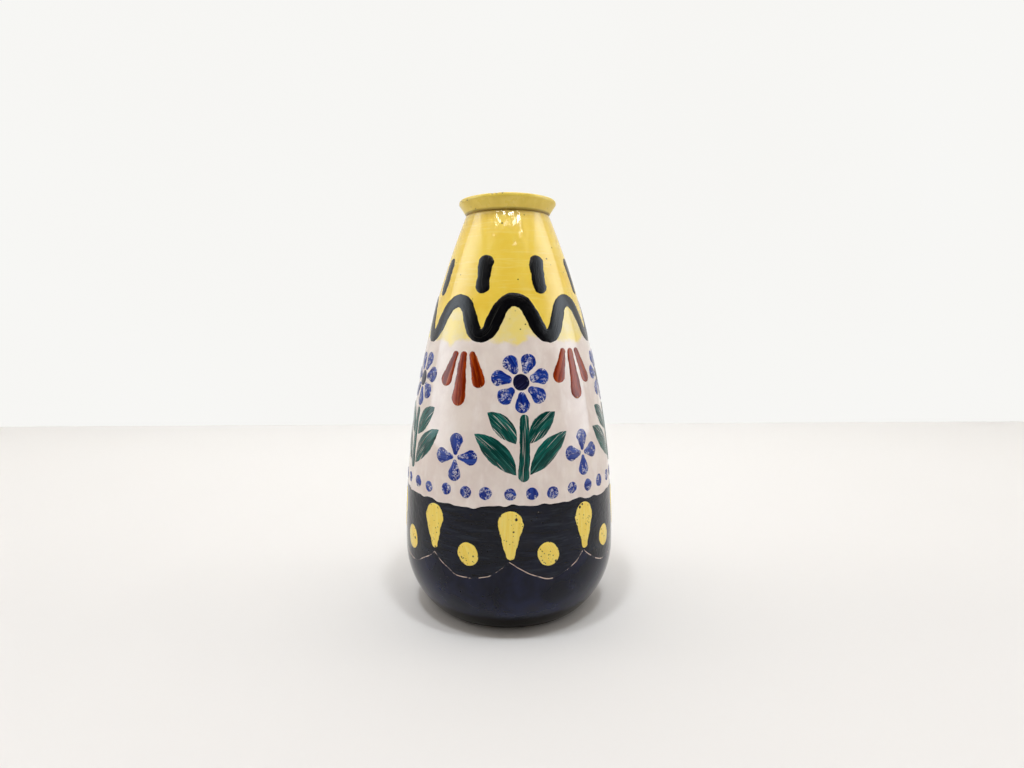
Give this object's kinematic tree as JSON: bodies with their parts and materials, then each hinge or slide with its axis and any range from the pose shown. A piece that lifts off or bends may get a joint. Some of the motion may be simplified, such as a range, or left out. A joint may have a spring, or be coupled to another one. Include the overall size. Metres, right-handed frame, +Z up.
{
  "type": "painted vase",
  "caption": "Tall glazed earthenware vase with a round belly, tapering flank and flared collar, banded in yellow, white and black and painted with raised enamel, for holding flowers.",
  "frame": {"origin": "middle of the foot on the table", "axes": "+Z up along the turning axis, -Y towards the viewer of the picture"},
  "size_m": [0.126, 0.1265, 0.24],
  "materials": {
    "clay": "bare fired earthenware",
    "liner": "glossy",
    "collar_yellow": "satin",
    "yellow_glaze": "glossy",
    "white_glaze": "glossy",
    "black_glaze": "glossy",
    "black_enamel": "glossy",
    "green_enamel": "glossy, streaked by the brush",
    "blue_enamel": "glossy, mottled",
    "dark_blue_enamel": "glossy",
    "rust_enamel": "glossy, streaked by the brush",
    "yellow_enamel": "glossy, with pinholes"
  },
  "bodies": {
    "root": {"clay_body": "clay", "rim_collar": "clay", "liner_glaze": "liner", "collar_glaze": "collar_yellow", "neck_glaze": "yellow_glaze", "belly_glaze": "white_glaze", "base_glaze": "black_glaze", "neck_dabs": "black_enamel", "neck_wave": "black_enamel", "sprig_stems": "green_enamel", "sprig_leaves": "green_enamel", "blossom_petals": "blue_enamel", "blossom_centres": "dark_blue_enamel", "rust_buds": "rust_enamel", "blue_crosses": "blue_enamel", "bead_row": "blue_enamel", "base_tongues": "yellow_enamel", "base_dots": "yellow_enamel"}
  },
  "joints": []
}
